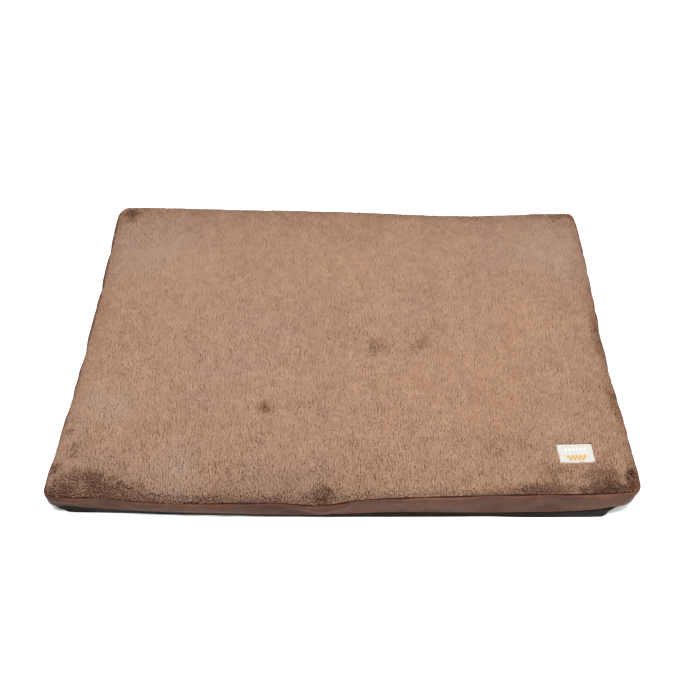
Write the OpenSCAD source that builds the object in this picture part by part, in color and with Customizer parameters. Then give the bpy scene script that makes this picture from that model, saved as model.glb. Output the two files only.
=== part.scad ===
// Pet mattress: a zipped cover with a plush top, a sueded boxing strip and a grip base,
// round a liner that holds a foam slab between two layers of fibre wadding.
// Origin: centre of the footprint, on the surface that the mattress lies on.
// +X runs along the long side, -Y is the front (label side), +Y is the back (zip side).

/* [Mattress] */
// Length of the mattress along X, over the plush
mattress_length = 1000; // [900:10:1100]
// Depth of the mattress along Y, over the plush
mattress_depth = 700; // [640:10:760]
// Height of the mattress, over the plush
mattress_height = 80; // [76:1:100]
// Radius of the mattress's corners in plan
corner_radius = 30; // [20:1:45]

/* [Cover] */
// Height of the seam between the boxing strip and the plush top
top_seam_height = 66; // [62:1:70]
// Thickness of the plush top, backing and pile together
plush_thickness = 9; // [7:0.5:10]
// How far the plush stands out past the boxing strip
plush_overhang = 4; // [3.5:0.5:5]
// Thickness of the sueded boxing cloth
boxing_thickness = 1.4; // [1:0.1:1.8]
// Thickness of the grip base cloth
base_thickness = 1.2; // [0.8:0.1:1.6]
// How far the top falls from its middle to its seam
crown_drop = 5; // [2:0.5:7]
// Width of the border over which the top falls
crown_run = 70; // [40:5:120]

/* [Filling] */
// Thickness of the foam slab
foam_thickness = 50; // [40:1:52]
// Thickness of the lower wadding layer
lower_wadding = 6; // [4:0.5:8]
// Thickness of the liner cloth
liner_thickness = 0.6; // [0.4:0.1:0.8]

/* [Zip] */
// Length of the opening that the zip closes
zip_opening = 920; // [700:10:940]
// Height of the gap between the upper and the lower back boxing
zip_gap = 14; // [13:0.5:16]
// Width of one zip tape
tape_width = 14; // [12:0.5:15]
// Thickness of the zip tapes
tape_thickness = 0.8; // [0.6:0.1:1]
// Height of one coil half, across the zip
coil_width = 2.5; // [2.2:0.1:2.8]
// Thickness of a coil half, through the zip
coil_thickness = 2; // [1.6:0.1:2.2]
// Gap between the two coil halves, which the slider's web runs in
coil_slit = 1.8; // [1.6:0.1:2]
// Length of the pull tab from its pin
pull_length = 30; // [22:1:36]

/* [Label] */
// Length of the woven label
label_length = 62; // [50:1:70]
// Depth of the woven label
label_depth = 38; // [30:1:45]
// Thickness of the woven label
label_thickness = 0.8; // [0.6:0.1:1]

/* [Hidden] */

corner_steps = 10;          // segments in a quarter of a lofted corner
flex_gap = 1;               // room between the boxing and the filling
eps = 0.01;                 // overshoot of a cutter past the face that it cuts

boxing_length = mattress_length - 2 * plush_overhang;
boxing_depth = mattress_depth - 2 * plush_overhang;
boxing_radius = corner_radius - plush_overhang;
boxing_back_y = boxing_depth / 2;
boxing_inner_y = boxing_back_y - boxing_thickness;

// The zip lies behind the back boxing, halfway up it
zip_z = (base_thickness + top_seam_height) / 2;
tape_face_y = boxing_inner_y;
coil_face_y = tape_face_y - tape_thickness;
coil_back_y = coil_face_y - coil_thickness;
coil_length = zip_opening - 16;
tape_length = zip_opening + 16;

// Slider: two plates either side of the tapes, joined by a web at the nose
slider_clearance = 0.3;
slider_length = 12;
slider_width = 10;
slider_plate = 1.4;
slider_flange = 0.8;
web_thickness = 1;
web_length = 3;
outer_plate_y = tape_face_y + slider_clearance;
inner_plate_y = coil_back_y - slider_clearance - slider_plate;
slider_rest_x = coil_length / 2 - slider_length / 2 - 4;

// Pull tab: turns on a pin between two lugs on the slider's outer plate
lug_thickness = 0.8;
lug_radius = 1.2;
lug_spacing = 3.2;
pin_radius = 0.5;
pin_clearance = 0.05;
pin_x = slider_rest_x + 2;
pin_y = outer_plate_y + slider_plate + 1.4;
eye_radius = 1.1;
tab_thickness = 1.2;
tab_width = 6;

// Filling: its back wall stays clear of the slider's inner plate
liner_half_length = boxing_length / 2 - boxing_thickness - flex_gap;
liner_front_y = -(boxing_inner_y - flex_gap);
liner_back_y = inner_plate_y - flex_gap;
liner_depth = liner_back_y - liner_front_y;
liner_y = (liner_back_y + liner_front_y) / 2;
liner_radius = boxing_radius - boxing_thickness - flex_gap;
fill_bottom_z = base_thickness + liner_thickness;
foam_bottom_z = fill_bottom_z + lower_wadding;
foam_top_z = foam_bottom_z + foam_thickness;
liner_top_z = mattress_height - plush_thickness;
fill_top_z = liner_top_z - liner_thickness;
liner_seam_z = liner_top_z / 2;

label_x = 405;
label_y = -276;
label_turn = 2;
label_top_z = mattress_height - 0.6;

plush_colour = [0.60, 0.47, 0.38];
boxing_colour = [0.45, 0.33, 0.28];
base_colour = [0.22, 0.18, 0.16];
foam_colour = [0.93, 0.90, 0.78];
wadding_colour = [0.96, 0.96, 0.95];
liner_colour = [0.88, 0.87, 0.84];
tape_colour = [0.36, 0.26, 0.21];
coil_colour = [0.30, 0.22, 0.18];
metal_colour = [0.55, 0.45, 0.30];
label_colour = [0.92, 0.90, 0.86];

// ---- shared shapes ----

// Flat outline with round corners, centred
module rounded_outline(length, depth, radius) {
    square([length - 2 * radius, depth], center = true);
    square([length, depth - 2 * radius], center = true);
    for (sx = [-1, 1], sy = [-1, 1])
        translate([sx * (length / 2 - radius), sy * (depth / 2 - radius)])
            circle(r = radius, $fn = 64);
}

// Points of a round-cornered ring, drawn in from the outline by inset, at height z
function ring(length, depth, radius, inset, z) =
    let (r = max(radius - inset, 2))
    [
        for (quarter = [0 : 3], step = [0 : corner_steps])
            let (
                turn = 90 * quarter + 90 * step / corner_steps,
                sx = quarter == 0 || quarter == 3 ? 1 : -1,
                sy = quarter < 2 ? 1 : -1
            )
            [
                sx * (length / 2 - inset - r) + r * cos(turn),
                sy * (depth / 2 - inset - r) + r * sin(turn),
                z
            ]
    ];

// Closed solid through rings of [inset, z], lowest first, with flat ends
module lofted(length, depth, radius, levels) {
    count = 4 * (corner_steps + 1);
    last = len(levels) - 1;
    points = [for (level = levels) each ring(length, depth, radius, level[0], level[1])];
    sides = [
        for (row = [0 : last - 1], i = [0 : count - 1])
            let (a = row * count + i, b = row * count + (i + 1) % count)
            [a, a + count, b + count, b]
    ];
    bottom = [for (i = [0 : count - 1]) i];
    top = [for (i = [count - 1 : -1 : 0]) last * count + i];
    polyhedron(points = points, faces = concat(sides, [bottom, top]), convexity = 4);
}

// Levels of a crowned top whose flat middle is at height z; the fall eases out over crown_run
function crown(z) = [
    for (share = [0, 0.06, 0.14, 0.25, 0.4, 0.6, 0.8, 1])
        [share * crown_run, z - crown_drop * pow(1 - share, 2)]
];

// A bar along the zip, with its low corner at y and z
module zip_bar(length, y, z, thickness, width) {
    translate([-length / 2, y, z]) cube([length, thickness, width]);
}

// ---- filling ----

module foam_core() {
    color(foam_colour)
        translate([0, liner_y, 0])
            lofted(2 * liner_half_length - 8, liner_depth - 8, liner_radius,
                [[0, foam_bottom_z], [0, foam_top_z]]);
}

module wadding_top() {
    color(wadding_colour)
        translate([0, liner_y, 0])
            lofted(2 * (liner_half_length - liner_thickness), liner_depth - 2 * liner_thickness,
                liner_radius - liner_thickness,
                concat([[0, foam_top_z]], crown(fill_top_z)));
}

module wadding_base() {
    color(wadding_colour)
        translate([0, liner_y, 0])
            lofted(2 * (liner_half_length - liner_thickness), liner_depth - 2 * liner_thickness,
                liner_radius - liner_thickness,
                [[4, fill_bottom_z], [0, fill_bottom_z + 3], [0, foam_bottom_z]]);
}

// Upper half of the liner: crowned top and its wall down to the liner's seam
module liner_top() {
    color(liner_colour)
        translate([0, liner_y, 0])
            difference() {
                lofted(2 * liner_half_length, liner_depth, liner_radius,
                    concat([[0, liner_seam_z]], crown(liner_top_z)));
                lofted(2 * (liner_half_length - liner_thickness),
                    liner_depth - 2 * liner_thickness, liner_radius - liner_thickness,
                    concat([[0, liner_seam_z - 1]], crown(fill_top_z)));
            }
}

// Lower half of the liner: flat bottom and its wall up to the liner's seam
module liner_base() {
    color(liner_colour)
        translate([0, liner_y, 0])
            difference() {
                lofted(2 * liner_half_length, liner_depth, liner_radius,
                    [[4, base_thickness], [0, base_thickness + 3], [0, liner_seam_z]]);
                lofted(2 * (liner_half_length - liner_thickness),
                    liner_depth - 2 * liner_thickness, liner_radius - liner_thickness,
                    [[4, fill_bottom_z], [0, fill_bottom_z + 3], [0, liner_seam_z + 1]]);
            }
}

// ---- cover ----

// Crowned plush panel, sewn down to the boxing at its rim, hollow over the liner
module plush_top_panel() {
    color(plush_colour)
        difference() {
            lofted(mattress_length, mattress_depth, corner_radius,
                concat([[2, top_seam_height], [0, top_seam_height + 3]],
                    [[0.5, mattress_height - crown_drop - 3]],
                    [for (level = crown(mattress_height)) [level[0] + 3, level[1]]]));
            translate([0, liner_y, 0])
                lofted(2 * liner_half_length, liner_depth, liner_radius,
                    concat([[0, top_seam_height - 1]], crown(liner_top_z)));
            label_place(label_top_z - label_thickness)
                linear_extrude(height = 5)
                    square([label_length, label_depth], center = true);
        }
}

module grip_base_panel() {
    color(base_colour)
        linear_extrude(height = base_thickness)
            rounded_outline(boxing_length, boxing_depth, boxing_radius);
}

// One strip round the front, both sides and the back corners
module boxing_strip() {
    color(boxing_colour)
        translate([0, 0, base_thickness])
            linear_extrude(height = top_seam_height - base_thickness)
                difference() {
                    rounded_outline(boxing_length, boxing_depth, boxing_radius);
                    rounded_outline(boxing_length - 2 * boxing_thickness,
                        boxing_depth - 2 * boxing_thickness, boxing_radius - boxing_thickness);
                    translate([-zip_opening / 2, 0])
                        square([zip_opening, boxing_depth]);
                }
}

module boxing_back_upper() {
    color(boxing_colour)
        zip_bar(zip_opening, boxing_inner_y, zip_z + zip_gap / 2,
            boxing_thickness, top_seam_height - zip_z - zip_gap / 2);
}

module boxing_back_lower() {
    color(boxing_colour)
        zip_bar(zip_opening, boxing_inner_y, base_thickness,
            boxing_thickness, zip_z - zip_gap / 2 - base_thickness);
}

// ---- zip ----

module zip_tape_upper() {
    color(tape_colour)
        zip_bar(tape_length, coil_face_y, zip_z + coil_slit / 2, tape_thickness, tape_width);
}

module zip_tape_lower() {
    color(tape_colour)
        zip_bar(tape_length, coil_face_y, zip_z - coil_slit / 2 - tape_width,
            tape_thickness, tape_width);
}

module zip_coil_upper() {
    color(coil_colour)
        zip_bar(coil_length, coil_back_y, zip_z + coil_slit / 2, coil_thickness, coil_width);
}

module zip_coil_lower() {
    color(coil_colour)
        zip_bar(coil_length, coil_back_y, zip_z - coil_slit / 2 - coil_width,
            coil_thickness, coil_width);
}

// Crimped stop on each tape, just past the end of the coil where the zip is closed
module zip_closed_stops() {
    color(metal_colour)
        for (side = [-1, 1])
            translate([coil_length / 2, coil_back_y, zip_z + side * (coil_slit + coil_width) / 2])
                translate([0, 0, -coil_width / 2])
                    cube([3, coil_thickness, coil_width]);
}

// Crimped stop across both tapes, just past the end of the coil where the zip is open
module zip_open_stop() {
    color(metal_colour)
        translate([-coil_length / 2 - 4, coil_back_y, zip_z - coil_slit / 2 - coil_width])
            cube([4, coil_thickness, coil_slit + 2 * coil_width]);
}

// Slider plate lying in the zip's plane, with its inner face at y
module slider_plate_at(y) {
    translate([slider_rest_x, y + slider_plate, zip_z])
        rotate([90, 0, 0])
            linear_extrude(height = slider_plate)
                rounded_outline(slider_length, slider_width, 2.5);
}

module zip_slider() {
    color(metal_colour) {
        slider_plate_at(outer_plate_y);
        slider_plate_at(inner_plate_y);
        // web through the slit between the tapes, at the nose
        translate([
            slider_rest_x + slider_length / 2 - web_length,
            inner_plate_y + eps,
            zip_z - web_thickness / 2
        ])
            cube([web_length, outer_plate_y - inner_plate_y, web_thickness]);
        // flanges that hold the coils in from above and below
        for (side = [-1, 1])
            translate([
                slider_rest_x - slider_length / 2 + 2.5,
                inner_plate_y + slider_plate - eps,
                zip_z + side * (slider_width - slider_flange) / 2 - slider_flange / 2
            ])
                cube([
                    slider_length - 5,
                    coil_face_y - slider_clearance - inner_plate_y - slider_plate,
                    slider_flange
                ]);
        // lugs for the pull tab's pin
        for (side = [-1, 1])
            translate([0, 0, zip_z + side * (lug_spacing + lug_thickness) / 2 - lug_thickness / 2])
                pull_lug();
    }
}

module pull_lug() {
    difference() {
        union() {
            translate([pin_x, pin_y, 0])
                cylinder(r = lug_radius, h = lug_thickness, $fn = 48);
            translate([pin_x - lug_radius, outer_plate_y + slider_plate - eps, 0])
                cube([2 * lug_radius, pin_y - outer_plate_y - slider_plate + eps, lug_thickness]);
        }
        translate([pin_x, pin_y, -1])
            cylinder(r = pin_radius, h = lug_thickness + 2, $fn = 48);
    }
}

module zip_pull_pin() {
    pin_length = lug_spacing + 2 * lug_thickness;
    color(metal_colour)
        translate([pin_x, pin_y, zip_z - pin_length / 2])
            cylinder(r = pin_radius, h = pin_length, $fn = 48);
}

// Tab lying flat over the slider and the zip, pointing away from the nose
module zip_pull_tab() {
    eye_width = lug_spacing - 2 * slider_clearance;
    neck_length = 6;
    color(metal_colour)
        difference() {
            union() {
                translate([pin_x, pin_y, zip_z - eye_width / 2])
                    cylinder(r = eye_radius, h = eye_width, $fn = 48);
                translate([pin_x - neck_length, pin_y - tab_thickness / 2, zip_z - eye_width / 2])
                    cube([neck_length, tab_thickness, eye_width]);
                translate([
                    pin_x - (neck_length - 1 + pull_length) / 2,
                    pin_y + tab_thickness / 2,
                    zip_z
                ])
                    rotate([90, 0, 0])
                        linear_extrude(height = tab_thickness)
                            rounded_outline(pull_length - neck_length + 1, tab_width, 2);
            }
            // bore for the pin
            translate([pin_x, pin_y, zip_z - eye_width / 2 - 1])
                cylinder(r = pin_radius + pin_clearance, h = eye_width + 2, $fn = 48);
            // finger hole near the free end
            translate([pin_x - pull_length + 4, pin_y + tab_thickness, zip_z])
                rotate([90, 0, 0])
                    cylinder(r = 1.5, h = 2 * tab_thickness, $fn = 48);
        }
}

// ---- label ----

module label_place(z) {
    translate([label_x, label_y, z])
        rotate([0, 0, label_turn])
            children();
}

module woven_label() {
    color(label_colour)
        label_place(label_top_z - label_thickness)
            linear_extrude(height = label_thickness)
                square([label_length, label_depth], center = true);
}

foam_core();
wadding_top();
wadding_base();
liner_top();
liner_base();
plush_top_panel();
grip_base_panel();
boxing_strip();
boxing_back_upper();
boxing_back_lower();
zip_tape_upper();
zip_tape_lower();
zip_coil_upper();
zip_coil_lower();
zip_closed_stops();
zip_open_stop();
zip_slider();
zip_pull_pin();
zip_pull_tab();
woven_label();
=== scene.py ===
import math

import bmesh
import bpy
import numpy as np
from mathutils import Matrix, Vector


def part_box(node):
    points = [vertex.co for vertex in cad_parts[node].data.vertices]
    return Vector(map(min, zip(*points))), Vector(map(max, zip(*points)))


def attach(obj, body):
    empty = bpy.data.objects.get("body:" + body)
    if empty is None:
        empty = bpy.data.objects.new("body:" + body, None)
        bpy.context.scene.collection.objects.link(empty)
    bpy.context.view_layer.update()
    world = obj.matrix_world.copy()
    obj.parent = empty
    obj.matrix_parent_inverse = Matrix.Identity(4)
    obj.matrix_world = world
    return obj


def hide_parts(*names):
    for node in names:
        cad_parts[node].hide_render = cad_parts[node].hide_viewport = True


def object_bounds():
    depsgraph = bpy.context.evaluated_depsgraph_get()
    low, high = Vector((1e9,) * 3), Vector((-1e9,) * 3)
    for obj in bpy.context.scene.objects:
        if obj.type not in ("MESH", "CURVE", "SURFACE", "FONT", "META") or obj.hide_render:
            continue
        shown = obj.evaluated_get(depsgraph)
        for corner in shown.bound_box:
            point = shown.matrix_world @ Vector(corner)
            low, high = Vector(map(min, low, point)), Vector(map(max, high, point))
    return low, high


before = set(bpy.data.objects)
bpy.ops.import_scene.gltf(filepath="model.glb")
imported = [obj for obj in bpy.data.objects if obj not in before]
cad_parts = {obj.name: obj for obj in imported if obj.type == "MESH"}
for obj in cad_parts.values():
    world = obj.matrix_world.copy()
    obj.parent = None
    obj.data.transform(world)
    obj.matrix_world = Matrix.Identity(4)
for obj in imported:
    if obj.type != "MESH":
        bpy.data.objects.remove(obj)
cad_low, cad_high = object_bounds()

# A flat pet mattress: plush top, sueded boxing strip, grip base, zipped back, woven label.
# +X runs along the long side, -Y is the front, +Y the zip side, Z is up. All lengths are metres.

# ---- driving dimensions, from the frame ----

TOP_Z = cad_high.z
WALL_X, WALL_Y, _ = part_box("boxing_strip")[1]
BASE_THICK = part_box("grip_base_panel")[1].z
BACKING_THICK = 0.0025      # of the plush panel, without its pile
BASE_REST_Z = 0.0007        # height at which the base cloth lies over the floor, on its grip dots
STRIP_LOW, STRIP_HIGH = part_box("boxing_back_upper")
ZIP_END_X, ZIP_UPPER_Z = STRIP_HIGH.x, STRIP_LOW.z
ZIP_LOWER_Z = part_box("boxing_back_lower")[1].z
BOXING_THICK = STRIP_HIGH.y - STRIP_LOW.y
LINER_LOW, LINER_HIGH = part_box("liner_top")
FOAM_HIGH_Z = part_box("foam_core")[1].z

PILE_LENGTH = 0.008         # length of one tuft of pile
PILE_HEIGHT = 0.0065        # how high the leaning pile stands over its backing
TUFT_RADIUS = 0.00105       # of one tuft, at its root
TUFTS = 250000              # tufts on the whole panel, about
BARE_CELL = 0.013           # spacing of the places where the pile may part over a bare spot
TUFT_TILES = (6, 2)         # the pile is split into this many pieces along X and Y
SHOULDER = 0.062            # width of the border over which the top rolls down to its seam
FOOT_RADIUS = 0.02          # corner radius in plan of the patch that rests on the floor
SHEET_PITCH = 0.008         # grid pitch of the panels
SHIFT_REACH = 0.12          # how far in from a side its own curve is still felt

# Height of the top seam along each side, and how far it stands out past the wall
SEAM_FRONT = [(-0.5, 0.054), (-0.42, 0.048), (-0.37, 0.044), (-0.28, 0.042), (-0.12, 0.042), (-0.04, 0.037),
              (0.03, 0.051), (0.1, 0.058), (0.25, 0.064), (0.4, 0.067), (0.5, 0.07)]
SEAM_BACK = [(-0.5, 0.071), (-0.3, 0.07), (0.0, 0.068), (0.25, 0.063), (0.4, 0.065), (0.5, 0.067)]
SEAM_LEFT = [(-0.35, 0.054), (-0.2, 0.06), (0.0, 0.064), (0.35, 0.07)]
SEAM_RIGHT = [(-0.35, 0.07), (-0.15, 0.066), (0.1, 0.065), (0.35, 0.065)]
OUT_FRONT = [(-0.5, 0.003), (-0.42, 0.003), (-0.32, 0.008), (-0.11, 0.0085), (-0.04, 0.009), (0.03, 0.0065),
             (0.16, 0.005), (0.3, 0.002), (0.42, 0.001), (0.5, -0.003)]
OUT_BACK = [(-0.5, 0.014), (-0.4, 0.016), (-0.3, 0.013), (0.0, 0.007), (0.25, 0.0),
            (0.4, 0.002), (0.5, 0.004)]
OUT_LEFT = [(-0.35, 0.021), (-0.28, 0.018), (-0.15, 0.011), (0.0, 0.007), (0.35, 0.009)]
OUT_RIGHT = [(-0.35, 0.006), (-0.2, 0.005), (-0.08, 0.0), (0.1, 0.003), (0.25, 0.005), (0.35, 0.002)]
# The bottom seam: its height, and how far it stands out past the wall
LIP_FRONT = [(-0.5, 0.022), (-0.46, 0.02), (-0.42, 0.017), (-0.32, 0.013), (-0.22, 0.011), (0.3, 0.012),
             (0.4, 0.015), (0.44, 0.02), (0.465, 0.026), (0.5, 0.028)]
LIP_OUT_FRONT = [(-0.5, 0.0015), (-0.42, 0.007), (-0.32, 0.01), (-0.24, 0.0125), (-0.04, 0.0125),
                 (0.04, 0.009), (0.3, 0.0085), (0.43, 0.006), (0.5, 0.003)]
LIP_OUT_LEFT = [(-0.35, 0.025), (-0.2, 0.008), (0.35, 0.003)]
LIP_SIDES, LIP_OUT_BACK, LIP_OUT_RIGHT = 0.01, 0.001, 0.008
# How far the boxing bulges past the straight line between its seams, and the groove along the top seam
BULGE_RIGHT = [(-0.35, 0.005), (-0.25, 0.005), (-0.12, 0.0035), (0.35, 0.004)]
BULGE_LEFT = [(-0.35, 0.005), (-0.2, 0.006), (-0.05, 0.01), (0.35, 0.011)]
BULGE_FRONT = 0.0045
GROOVE_DEPTH, GROOVE_ROLL = 0.006, 0.0034
# How far the patch that rests on the floor stands past the wall on each side
FOOT_BACK, FOOT_LEFT = -0.006, 0.008
FOOT_FRONT = [(-0.5, 0.006), (-0.4, 0.0085), (-0.25, 0.0115), (0.5, 0.0125)]
FOOT_RIGHT = [(-0.35, -0.03), (-0.2, -0.016), (0.35, -0.01)]


# ---- numbers ----

TURN = 2 * math.pi


def smooth(t):
    t = np.clip(t, 0, 1)
    return t * t * (3 - 2 * t)


def along(points, x):
    """A smooth curve through (x, value) points, read at x."""
    px, py = np.array(points, float).T
    slope = np.gradient(py, px)
    i = np.clip(np.searchsorted(px, x) - 1, 0, len(px) - 2)
    h = px[i + 1] - px[i]
    t = np.clip((x - px[i]) / h, 0, 1)
    return (
        (2 * t**3 - 3 * t**2 + 1) * py[i] + (t**3 - 2 * t**2 + t) * h * slope[i]
        + (3 * t**2 - 2 * t**3) * py[i + 1] + (t**3 - t**2) * h * slope[i + 1]
    )


def noise(x, y, cell, seed):
    """Smooth noise from about -1 to 1, with features about one cell across."""
    grid = np.random.default_rng(seed).uniform(-1, 1, (97, 89))
    u, v = np.asarray(x) / cell + 41.3, np.asarray(y) / cell + 37.7
    i, j = np.floor(u).astype(int), np.floor(v).astype(int)
    a, b = smooth(u - i), smooth(v - j)
    corner = [grid[(i + p) % 97, (j + q) % 89] for p in (0, 1) for q in (0, 1)]
    return (corner[0] * (1 - a) + corner[2] * a) * (1 - b) + (corner[1] * (1 - a) + corner[3] * a) * b


def unit(v):
    return v / np.maximum(np.linalg.norm(v, axis=-1, keepdims=True), 1e-12)


def points_at(*values):
    """Points from arrays of their coordinates."""
    return np.stack(values, -1)


# ---- shape of the cover ----

def top_radius(x, y):
    """Corner radius in plan at the top seam: the back corners are the sharp ones."""
    back = smooth(0.5 + y / 0.2)
    return 0.015 + back * (0.003 + 0.006 * smooth(0.5 - x / 0.2) - 0.011)


def lip_radius(x, y):
    """Corner radius in plan at the bottom seam."""
    return 0.012 + 0.012 * smooth(0.5 + x / 0.4) * smooth(0.5 - y / 0.4)


def round_corners(x, y, radius):
    """Points of the wall's rectangle, moved so that its outline has round corners."""
    u, v = np.abs(x) - (WALL_X - radius), np.abs(y) - (WALL_Y - radius)
    corner = (u > 0) & (v > 0)
    pull = np.where(corner, np.maximum(u, v) / np.maximum(np.hypot(u, v), 1e-9), 1.0)
    return (
        np.where(corner, np.sign(x) * (WALL_X - radius + u * pull), x),
        np.where(corner, np.sign(y) * (WALL_Y - radius + v * pull), y),
    )


def outward(x, y, radius):
    """The outline's outward direction at points on the wall's rectangle."""
    u = np.maximum(np.abs(x) - (WALL_X - radius), 0)
    v = np.maximum(np.abs(y) - (WALL_Y - radius), 0)
    size = np.maximum(np.hypot(u, v), 1e-9)
    return np.sign(x) * u / size, np.sign(y) * v / size


def by_side(x, y, radius, front, back, left, right):
    """A value at points of the outline, from its values on the four sides."""
    ox, oy = outward(x, y, radius)
    return (
        front * np.maximum(-oy, 0) ** 2 + back * np.maximum(oy, 0) ** 2
        + left * np.maximum(-ox, 0) ** 2 + right * np.maximum(ox, 0) ** 2
    )


def edge_distances(x, y):
    """Distances to the front, back, left and right edges."""
    return y + WALL_Y, WALL_Y - y, x + WALL_X, WALL_X - x


def edge_distance(x, y):
    """Distance to the nearest edge."""
    return np.minimum.reduce(edge_distances(x, y))


def side_shares(x, y):
    """How much each side's own curve is felt, from 0 to 1: front, back, left and right."""
    return [smooth(1 - d / SHIFT_REACH) for d in edge_distances(x, y)]


def seam_height(x, y):
    """Height of the stretch of top seam nearest to a point."""
    values = along(SEAM_FRONT, x), along(SEAM_BACK, x), along(SEAM_LEFT, y), along(SEAM_RIGHT, y)
    weights = [1 / (d + 0.006) ** 2 for d in edge_distances(x, y)]
    return sum(w * v for w, v in zip(weights, values)) / sum(weights)


def seam_shift(x, y):
    """How far the top's points move in plan, so that its outline follows the sides' own curves."""
    front, back, left, right = side_shares(x, y)
    return (
        right * along(OUT_RIGHT, y) - left * along(OUT_LEFT, y),
        back * along(OUT_BACK, x) - front * along(OUT_FRONT, x),
    )


def skin_height(x, y):
    """Height of the plush panel's backing over a point of the wall's rectangle."""
    crown = TOP_Z - PILE_HEIGHT - 0.002 + 0.0012 * noise(x, y, 0.21, 3) + 0.0006 * noise(x, y, 0.09, 4)
    far = edge_distance(x, y)
    near = np.clip(far, 0, SHOULDER) / SHOULDER
    groove = GROOVE_DEPTH * np.exp(-far / 0.0035)
    return crown - (1 - near) ** 2.3 * (crown - seam_height(x, y)) - groove


# ---- meshes ----

def add_object(name, data):
    obj = bpy.data.objects.new(name, data)
    bpy.context.scene.collection.objects.link(obj)
    return obj


def make_object(name, points, faces):
    mesh = bpy.data.meshes.new(name)
    mesh.from_pydata(np.asarray(points).reshape(-1, 3).tolist(), [], faces)
    mesh.update()
    mesh.polygons.foreach_set("use_smooth", [True] * len(mesh.polygons))
    return add_object(name, mesh)


def flipped(faces):
    return [face[::-1] for face in faces]


def grid_faces(rows, columns, closed=False):
    """Quads of a grid of rows by columns points, wrapping round the columns if closed."""
    last = columns if closed else columns - 1
    return [
        (r * columns + c, r * columns + (c + 1) % columns,
         (r + 1) * columns + (c + 1) % columns, (r + 1) * columns + c)
        for r in range(rows - 1) for c in range(last)
    ]


def add_modifier(obj, kind, **settings):
    modifier = obj.modifiers.new(kind.lower(), kind)
    for name, value in settings.items():
        setattr(modifier, name, value)
    return modifier


def apply_modifiers(obj):
    """Bakes obj's modifiers into its mesh."""
    graph = bpy.context.evaluated_depsgraph_get()
    mesh = bpy.data.meshes.new_from_object(obj.evaluated_get(graph), depsgraph=graph)
    obj.modifiers.clear()
    obj.data = mesh


def vertex_array(obj):
    points = np.empty(len(obj.data.vertices) * 3, np.float32)
    obj.data.vertices.foreach_get("co", points)
    return points.reshape(-1, 3).astype(float)


def set_vertices(obj, points):
    obj.data.vertices.foreach_set("co", np.asarray(points, np.float32).ravel())
    obj.data.update()


def shell(name, layers, closed_top=None, closed_bottom=None):
    """A mesh of stacked rings of one length each, closed by a grid of (rows, columns) at either end.

    The rings follow perimeter(), and a closing grid's border is its ring.
    """
    count = len(layers[0])
    points = np.concatenate(layers)
    faces = flipped(grid_faces(len(layers), count, closed=True))
    for grid, ring, flip in ((closed_top, 0, False), (closed_bottom, len(layers) - 1, True)):
        if grid is None:
            continue
        rows, columns = grid.shape[:2]
        start = len(points)
        index = start + np.arange(rows * columns).reshape(rows, columns)
        border = np.concatenate([index[0, :-1], index[:-1, -1], index[-1, :0:-1], index[:0:-1, 0]])
        swap = {int(b): int(ring * count + k) for k, b in enumerate(border)}
        for face in grid_faces(rows, columns):
            face = tuple(swap.get(start + i, start + i) for i in face)
            faces.append(face[::-1] if flip else face)
        points = np.concatenate([points, grid.reshape(-1, 3)])
    obj = make_object(name, points, faces)
    used = {i for face in faces for i in face}
    remove_points(obj, [i for i in range(len(points)) if i not in used])
    return obj


def remove_points(obj, indices):
    built = bmesh.new()
    built.from_mesh(obj.data)
    built.verts.ensure_lookup_table()
    bmesh.ops.delete(built, geom=[built.verts[i] for i in indices], context="VERTS")
    built.to_mesh(obj.data)
    built.free()


def tubes(name, lines, radius, sides=6):
    """Round threads with closed ends along lines of points, as one mesh."""
    points, faces = [], []
    for line in lines:
        line = np.asarray(line, float)
        way = unit(np.gradient(line, axis=0))
        hint = np.where(np.abs(way[:, 2:3]) > 0.9, [[1.0, 0, 0]], [[0, 0, 1.0]])
        side = unit(np.cross(way, hint))
        up = np.cross(side, way)
        start = len(points)
        turns = TURN * np.arange(sides) / sides
        ring = side[:, None] * np.cos(turns)[None, :, None] + up[:, None] * np.sin(turns)[None, :, None]
        points.extend((line[:, None] + radius * ring).reshape(-1, 3).tolist())
        faces += [tuple(start + i for i in face) for face in grid_faces(len(line), sides, closed=True)]
        faces.append(tuple(start + k for k in range(sides)))
        last = start + (len(line) - 1) * sides
        faces.append(tuple(last + k for k in reversed(range(sides))))
    return make_object(name, points, faces)


# ---- cloth ----

def add_cloth(obj, pinned, pressure, growth, stiffness):
    """Cloth on a sheet whose pinned points stay put; growth is the spare length it is cut with."""
    group = obj.vertex_groups.new(name="pinned")
    group.add([int(i) for i in np.flatnonzero(pinned)], 1.0, "ADD")
    modifier = obj.modifiers.new("cloth", "CLOTH")
    cloth = modifier.settings
    cloth.quality = 6
    cloth.mass = 0.25
    cloth.tension_stiffness = cloth.compression_stiffness = stiffness
    cloth.shear_stiffness = stiffness / 2
    cloth.bending_stiffness = 0.6
    cloth.air_damping = 4
    cloth.vertex_group_mass = "pinned"
    cloth.pin_stiffness = 1
    cloth.shrink_min = -growth
    cloth.use_pressure = True
    cloth.uniform_pressure_force = pressure
    cloth.effector_weights.gravity = 0
    modifier.collision_settings.use_self_collision = False


def run_cloth(objects, frames, cap):
    """Steps the simulation, then keeps each point within cap of where it started."""
    scene = bpy.context.scene
    starts = [vertex_array(o) for o in objects]
    for obj in objects:
        obj.modifiers["cloth"].point_cache.frame_end = frames
    for step in range(1, frames + 1):
        scene.frame_set(step)
    for obj, start in zip(objects, starts):
        apply_modifiers(obj)
        move = vertex_array(obj) - start
        size = np.linalg.norm(move, axis=1, keepdims=True)
        set_vertices(obj, start + move * cap * np.tanh(size / cap) / np.maximum(size, 1e-9))
    scene.frame_set(1)


# ---- materials ----

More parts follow.
